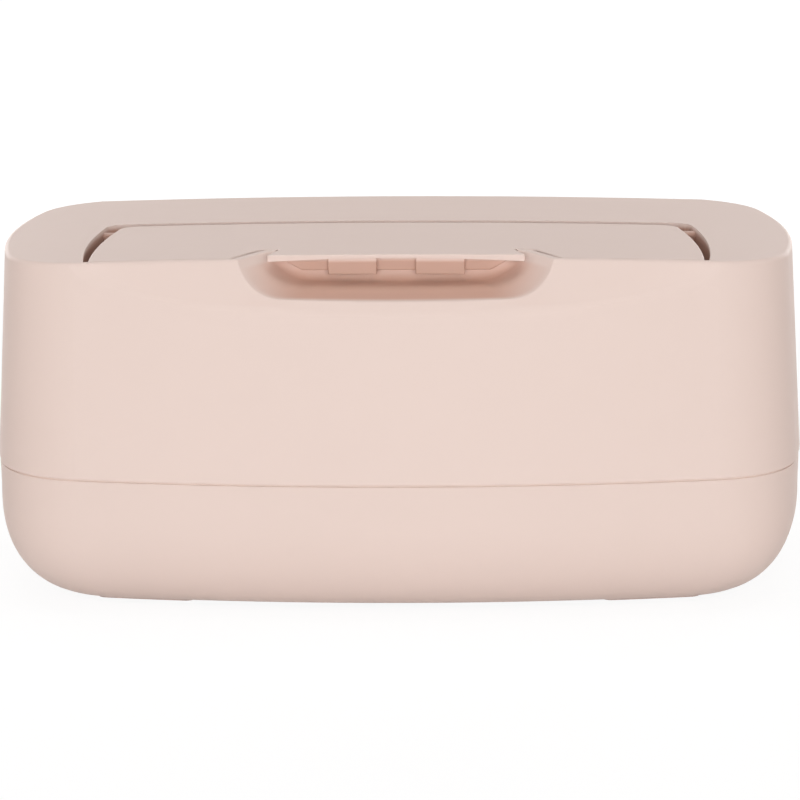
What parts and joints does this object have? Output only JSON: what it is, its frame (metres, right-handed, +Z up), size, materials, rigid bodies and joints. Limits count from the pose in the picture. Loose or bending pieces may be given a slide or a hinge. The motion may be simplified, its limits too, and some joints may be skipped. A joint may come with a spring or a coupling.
{
  "type": "baby wipes box",
  "caption": "Rounded wipes dispensing box: deep lower tray, lift-off casing, flush hinged lid with thumb tab over a finger scoop, slotted weight plate inside, rubber feet.",
  "frame": {"origin": "on the table, under the middle of the box, level with the undersides of the feet", "axes": "+X to the right along the long side, -Y to the front with the thumb tab, +Z up"},
  "size_m": [0.23, 0.138, 0.0984],
  "materials": {
    "moulding": "pale dusty pink polypropylene, fine satin texture",
    "silicone": "soft pale pink silicone",
    "foot_rubber": "matte rubber",
    "pin_steel": "plain ground steel",
    "bar_steel": "plain flat steel"
  },
  "bodies": {
    "tray": {"base_tray": "moulding", "tray_seal": "silicone", "foot_front_left": "foot_rubber", "foot_front_right": "foot_rubber", "foot_back_left": "foot_rubber", "foot_back_right": "foot_rubber"},
    "casing": {"upper_casing": "moulding", "mouth_insert": "silicone", "hinge_pin_left": "pin_steel", "hinge_pin_right": "pin_steel"},
    "lid": {"lid_cover": "moulding", "lid_seal": "silicone"},
    "weight_plate": {"weight_plate_base": "moulding", "weight_plate_cover": "moulding", "weight_bar_left": "bar_steel", "weight_bar_right": "bar_steel"}
  },
  "joints": [
    {"name": "casing_lift", "type": "slide", "parent": "tray", "child": "casing", "axis": [0, 0, 1], "range_m": [0, 0.12]},
    {"name": "lid_hinge", "type": "hinge", "parent": "casing", "child": "lid", "pos_m": [0, 0.0003, 0.09445], "axis": [-1, 0, 0], "range_deg": [0, 120]},
    {"name": "plate_slide", "type": "slide", "parent": "tray", "child": "weight_plate", "axis": [0, 0, 1], "range_m": [0, 0.074]}
  ]
}
